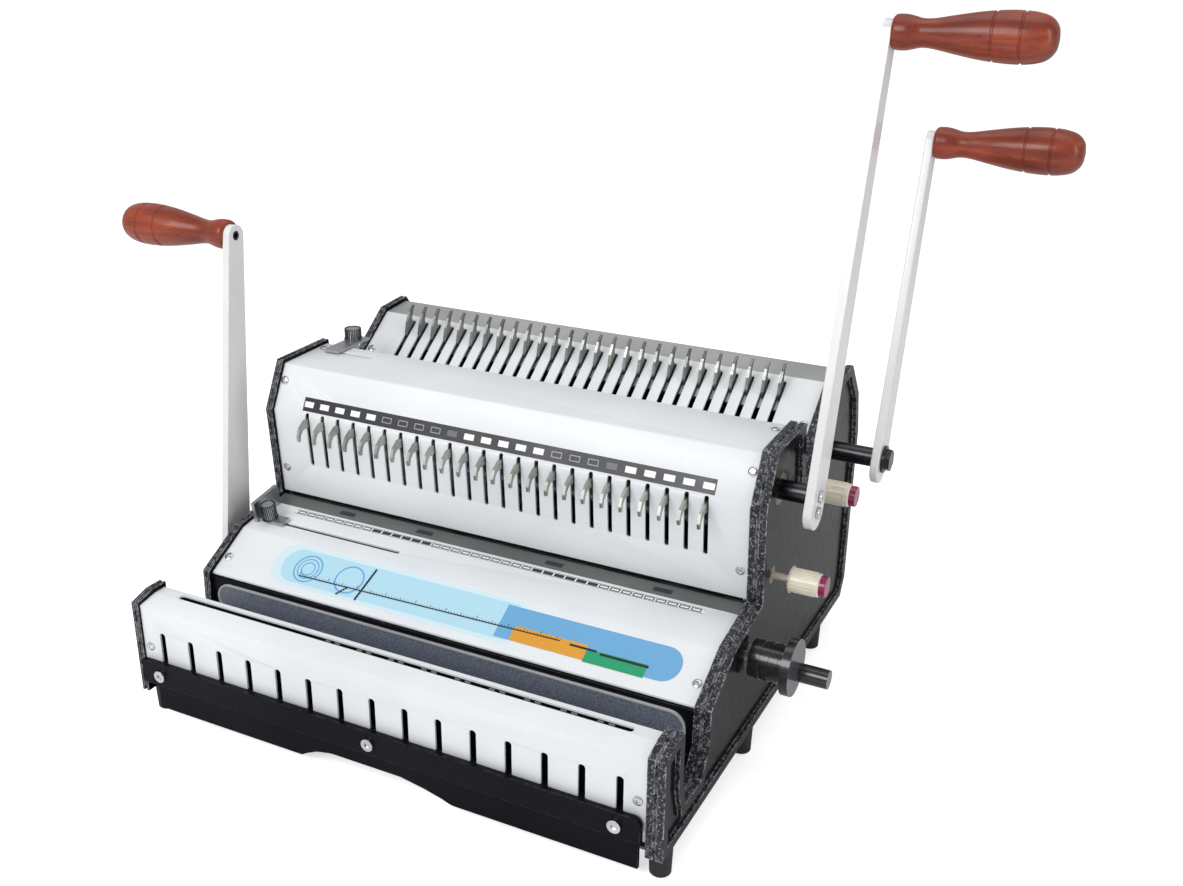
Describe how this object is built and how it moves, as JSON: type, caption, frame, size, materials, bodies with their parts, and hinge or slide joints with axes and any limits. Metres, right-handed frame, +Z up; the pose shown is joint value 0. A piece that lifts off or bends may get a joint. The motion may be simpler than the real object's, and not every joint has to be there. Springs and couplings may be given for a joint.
{
  "type": "comb binding machine",
  "caption": "Manual desktop binding machine with comb punch and opener, rear punch, wire closer, three levers with wooden grips and a chip drawer.",
  "frame": {"origin": "bottom centre of the whole machine's box, on the surface it stands on", "axes": "+X along the machine to the user's right, +Y from the user to the back, +Z up"},
  "size_m": [0.6685, 0.3848, 0.4914],
  "materials": {
    "white_paint": "satin powder coat",
    "lever_paint": "satin enamel",
    "hammer_black": "pebbled gloss black",
    "black_paint": "semi-gloss black",
    "grey_paint": "satin grey",
    "plain_steel": "zinc plated",
    "ground_steel": "ground",
    "hook_steel": "stamped and plated",
    "finger_steel": "blackened",
    "shaft_steel": "blackened",
    "bright_screw": "polished",
    "dark_bolt": "black oxide",
    "bush_brass": "turned",
    "grip_wood": "reddish brown lacquer",
    "foot_rubber": "moulded",
    "knob_plastic": "moulded",
    "dial_plastic": "moulded",
    "print_dark": "printed film",
    "print_blue": "printed film"
  },
  "bodies": {
    "frame": {"closer_cover": "white_paint", "deck_panel": "white_paint", "comb_tower_cover": "white_paint", "rear_tower_cover": "white_paint", "side_cover_left": "hammer_black", "side_cover_right": "hammer_black", "front_panel": "black_paint", "rear_cover": "black_paint", "wire_channel": "black_paint", "rear_top_plate": "grey_paint", "throat_plate": "grey_paint", "front_pad": "grey_paint", "frame_plate_left": "plain_steel", "frame_plate_right": "plain_steel", "tie_rods": "plain_steel", "drawer_runners": "plain_steel", "comb_die": "plain_steel", "comb_stripper": "plain_steel", "rear_die": "plain_steel", "rear_stripper": "plain_steel", "comb_guide_posts": "ground_steel", "rear_guide_posts": "ground_steel", "cover_screws": "bright_screw", "shaft_bushes": "bush_brass", "feet": "foot_rubber", "comb_size_strip": "print_dark", "hole_pattern_strip": "print_dark", "gauge_label": "print_blue"},
    "front_lever": {"front_lever_bar": "lever_paint", "front_lever_grip": "grip_wood", "front_grip_bolt": "dark_bolt", "front_punch_shaft": "shaft_steel", "front_lever_screws": "bright_screw"},
    "front_beam": {"comb_punch_beam": "plain_steel", "comb_punch_pins": "ground_steel"},
    "comb_opener": {"comb_hooks": "hook_steel"},
    "rear_lever": {"rear_lever_bar": "lever_paint", "rear_lever_grip": "grip_wood", "rear_grip_bolt": "dark_bolt", "rear_punch_shaft": "shaft_steel", "rear_lever_nut": "dark_bolt"},
    "rear_beam": {"rear_punch_beam": "plain_steel", "rear_punch_pins": "ground_steel"},
    "rear_opener": {"rear_fingers": "finger_steel"},
    "left_lever": {"left_lever_bar": "lever_paint", "left_lever_grip": "grip_wood", "left_grip_bolt": "dark_bolt", "closer_shaft": "shaft_steel"},
    "slider": {"closer_slider": "plain_steel"},
    "closer": {"closer_carriage": "black_paint", "closing_bar": "black_paint", "closing_bar_screws": "bright_screw"},
    "knob": {"size_knob": "knob_plastic", "size_screw": "ground_steel"},
    "nut": {"gap_nut": "plain_steel"},
    "front_dial": {"front_dial": "dial_plastic"},
    "rear_dial": {"rear_dial": "dial_plastic"},
    "edge_guide": {"edge_guide": "plain_steel"},
    "rear_edge_guide": {"rear_edge_guide": "plain_steel"},
    "drawer": {"chip_drawer": "black_paint"}
  },
  "joints": [
    {"name": "front_lever_pull", "type": "hinge", "parent": "frame", "child": "front_lever", "pos_m": [0.21225, 0.00585, 0.187], "axis": [1, 0, 0], "range_deg": [0, 75]},
    {"name": "front_punch_slide", "type": "slide", "parent": "frame", "child": "front_beam", "axis": [0, 0, -1], "range_m": [0, 0.0096]},
    {"name": "comb_opener_slide", "type": "slide", "parent": "frame", "child": "comb_opener", "axis": [0, 0.0628, -0.998], "range_m": [0, 0.0251]},
    {"name": "rear_lever_pull", "type": "hinge", "parent": "frame", "child": "rear_lever", "pos_m": [0.22825, 0.11085, 0.178], "axis": [1, 0, 0], "range_deg": [0, 75]},
    {"name": "rear_punch_slide", "type": "slide", "parent": "frame", "child": "rear_beam", "axis": [0, -1, 0], "range_m": [0, 0.0096]},
    {"name": "rear_opener_slide", "type": "slide", "parent": "frame", "child": "rear_opener", "axis": [0, -0.8039, -0.5948], "range_m": [0, 0.0221]},
    {"name": "left_lever_pull", "type": "hinge", "parent": "frame", "child": "left_lever", "pos_m": [-0.22825, -0.06215, 0.055], "axis": [1, 0, 0], "range_deg": [0, 75]},
    {"name": "closer_wedge_slide", "type": "slide", "parent": "frame", "child": "slider", "axis": [0, 1, 0], "range_m": [0, 0.0121]},
    {"name": "closer_lift", "type": "slide", "parent": "frame", "child": "closer", "axis": [0, 0, 1], "range_m": [0, 0.0141]},
    {"name": "size_knob_turn", "type": "hinge", "parent": "frame", "child": "knob", "pos_m": [0.21925, -0.04215, 0.084], "axis": [1, 0, 0], "range_deg": [0, 330]},
    {"name": "gap_nut_slide", "type": "slide", "parent": "frame", "child": "nut", "axis": [-1, 0, 0], "range_m": [0, 0.0101]},
    {"name": "front_dial_turn", "type": "hinge", "parent": "frame", "child": "front_dial", "pos_m": [0.20425, -0.00015, 0.125], "axis": [1, 0, 0], "range_deg": [0, 270]},
    {"name": "rear_dial_turn", "type": "hinge", "parent": "frame", "child": "rear_dial", "pos_m": [0.20425, 0.05885, 0.168], "axis": [1, 0, 0], "range_deg": [0, 270]},
    {"name": "edge_guide_slide", "type": "slide", "parent": "frame", "child": "edge_guide", "axis": [1, 0, 0], "range_m": [0, 0.1]},
    {"name": "rear_edge_guide_slide", "type": "slide", "parent": "frame", "child": "rear_edge_guide", "axis": [1, 0, 0], "range_m": [0, 0.03]},
    {"name": "drawer_slide", "type": "slide", "parent": "frame", "child": "drawer", "axis": [0, -1, 0], "range_m": [0, 0.15]}
  ],
  "couplings": [
    {"joint": "front_punch_slide", "follows": "front_lever_pull", "m_per_rad": 0.0072575},
    {"joint": "comb_opener_slide", "follows": "front_lever_pull", "m_per_rad": 0.019099},
    {"joint": "rear_punch_slide", "follows": "rear_lever_pull", "m_per_rad": 0.0072575},
    {"joint": "rear_opener_slide", "follows": "rear_lever_pull", "m_per_rad": 0.016807},
    {"joint": "closer_wedge_slide", "follows": "left_lever_pull", "m_per_rad": 0.0091673},
    {"joint": "closer_lift", "follows": "left_lever_pull", "m_per_rad": 0.010695},
    {"joint": "gap_nut_slide", "follows": "size_knob_turn", "m_per_rad": 0.0017362}
  ]
}
